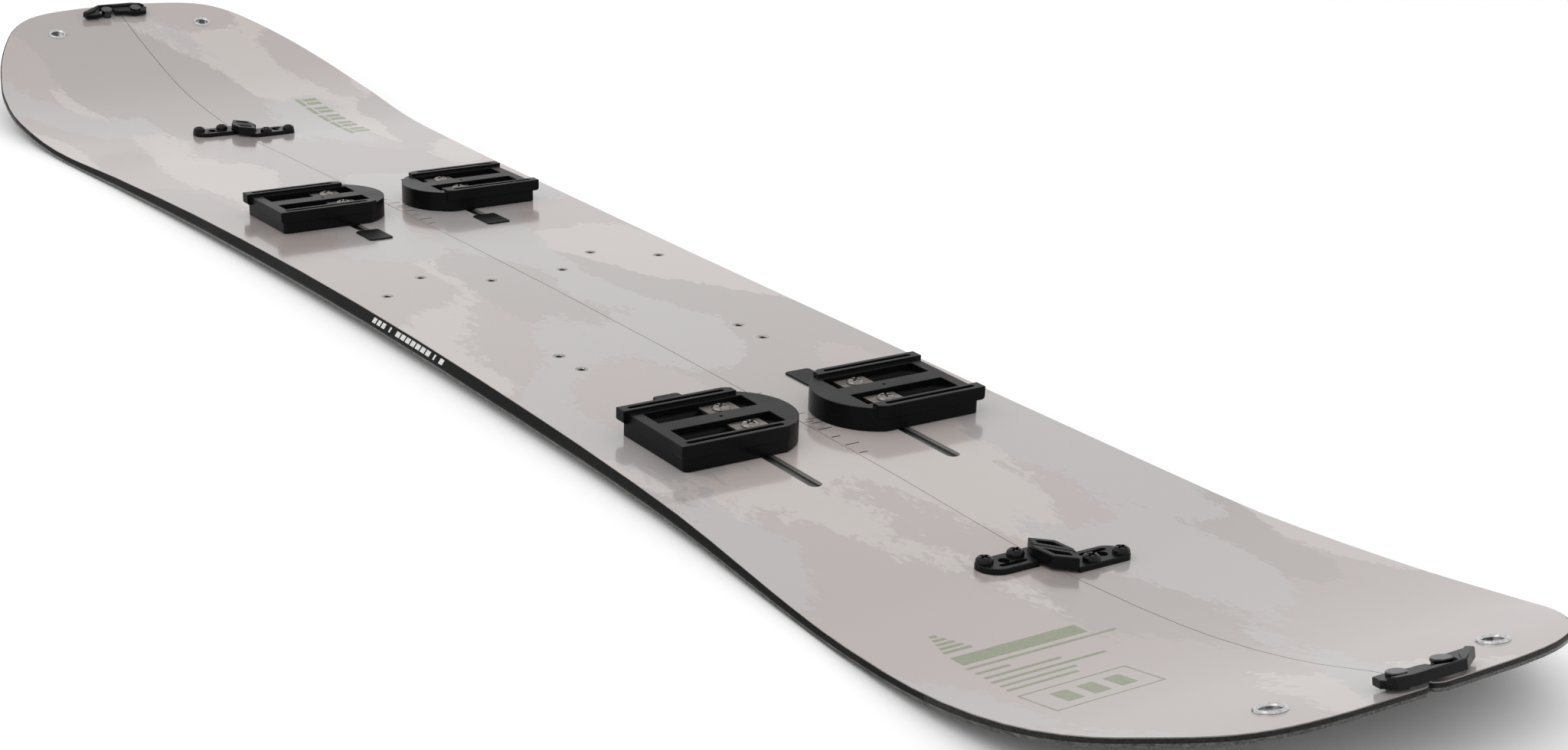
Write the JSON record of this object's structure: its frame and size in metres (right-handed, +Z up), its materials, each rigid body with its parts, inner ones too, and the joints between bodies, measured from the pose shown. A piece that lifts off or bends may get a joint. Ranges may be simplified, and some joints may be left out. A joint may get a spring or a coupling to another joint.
{
  "type": "splitboard",
  "caption": "Board that parts lengthwise into two touring skis, with sliding binding pucks, seam hooks and turning tip clips.",
  "frame": {"origin": "middle of the total length, on the seam between the halves, at ground level under the contact points", "axes": "+X to the nose, +Y to the left half, +Z up"},
  "size_m": [1.5899, 0.307, 0.0671],
  "materials": {
    "topsheet": "gloss, tonal camouflage print",
    "core": "bare laminated strips",
    "tip_fills": "plain sheet",
    "sidewall": "satin, sanded bevel",
    "base": "structured satin",
    "steel_edge": "ground",
    "tracks": "dark anodised",
    "track_covers": "fine matt",
    "pucks": "moulded matt",
    "puck_plates": "brushed",
    "puck_screws": "plain",
    "track_nuts": "plain",
    "hooks": "black anodised",
    "hook_screws": "black oxide",
    "inserts": "plain",
    "grommets": "bright",
    "levers": "black anodised",
    "pins": "turned"
  },
  "bodies": {
    "left_ski": {"base_left": "base", "core_left": "core", "sidewall_left": "sidewall", "steel_edge_left": "steel_edge", "topsheet_left": "topsheet", "tip_fill_tail_left": "tip_fills", "tip_fill_nose_left": "tip_fills", "base_tail_left": "base", "base_nose_left": "base", "hook_screws_left": "hook_screws", "hook_inserts_left": "inserts", "inserts_left": "inserts", "grommets_left": "grommets", "track_rear_left": "tracks", "track_cover_rear_left": "track_covers", "track_front_left": "tracks", "track_cover_front_left": "track_covers", "hook_tail_left": "hooks", "hook_nose_left": "hooks", "tail_clip_rivet": "pins", "nose_clip_stud": "pins"},
    "right_ski": {"base_right": "base", "core_right": "core", "sidewall_right": "sidewall", "steel_edge_right": "steel_edge", "topsheet_right": "topsheet", "tip_fill_tail_right": "tip_fills", "tip_fill_nose_right": "tip_fills", "base_tail_right": "base", "base_nose_right": "base", "hook_screws_right": "hook_screws", "hook_inserts_right": "inserts", "inserts_right": "inserts", "grommets_right": "grommets", "track_rear_right": "tracks", "track_cover_rear_right": "track_covers", "track_front_right": "tracks", "track_cover_front_right": "track_covers", "hook_tail_right": "hooks", "hook_nose_right": "hooks", "nose_clip_rivet": "pins", "tail_clip_stud": "pins"},
    "tail_clip": {"tail_clip_lever": "levers"},
    "nose_clip": {"nose_clip_lever": "levers"},
    "rear_left_puck": {"puck_rear_left": "pucks", "puck_plates_rear_left": "puck_plates", "puck_screws_rear_left": "puck_screws", "track_nuts_rear_left": "track_nuts"},
    "rear_right_puck": {"puck_rear_right": "pucks", "puck_plates_rear_right": "puck_plates", "puck_screws_rear_right": "puck_screws", "track_nuts_rear_right": "track_nuts"},
    "front_left_puck": {"puck_front_left": "pucks", "puck_plates_front_left": "puck_plates", "puck_screws_front_left": "puck_screws", "track_nuts_front_left": "track_nuts"},
    "front_right_puck": {"puck_front_right": "pucks", "puck_plates_front_right": "puck_plates", "puck_screws_front_right": "puck_screws", "track_nuts_front_right": "track_nuts"}
  },
  "joints": [
    {"name": "separate_halves", "type": "slide", "parent": "left_ski", "child": "right_ski", "axis": [-0.9135, -0.4067, 0], "range_m": [0, 0.036]},
    {"name": "tail_clip_turn", "type": "hinge", "parent": "left_ski", "child": "tail_clip", "pos_m": [-0.7852, 0.01325, 0.04037], "axis": [-0.2287, 0, -0.9735], "range_deg": [0, 180]},
    {"name": "nose_clip_turn", "type": "hinge", "parent": "right_ski", "child": "nose_clip", "pos_m": [0.7755, -0.01325, 0.05777], "axis": [0.2953, 0, -0.9554], "range_deg": [0, 180]},
    {"name": "rear_left_puck_slide", "type": "slide", "parent": "left_ski", "child": "rear_left_puck", "axis": [0.9999, 0, 0.016], "range_m": [-0.06, 0.015]},
    {"name": "rear_right_puck_slide", "type": "slide", "parent": "right_ski", "child": "rear_right_puck", "axis": [0.9999, 0, 0.016], "range_m": [-0.06, 0.015]},
    {"name": "front_left_puck_slide", "type": "slide", "parent": "left_ski", "child": "front_left_puck", "axis": [0.9999, 0, -0.0154], "range_m": [-0.015, 0.055]},
    {"name": "front_right_puck_slide", "type": "slide", "parent": "right_ski", "child": "front_right_puck", "axis": [0.9999, 0, -0.0154], "range_m": [-0.015, 0.055]}
  ],
  "couplings": [
    {"joint": "tail_clip_turn", "follows": "separate_halves", "rad_per_m": 87.26},
    {"joint": "nose_clip_turn", "follows": "separate_halves", "rad_per_m": 87.26}
  ]
}
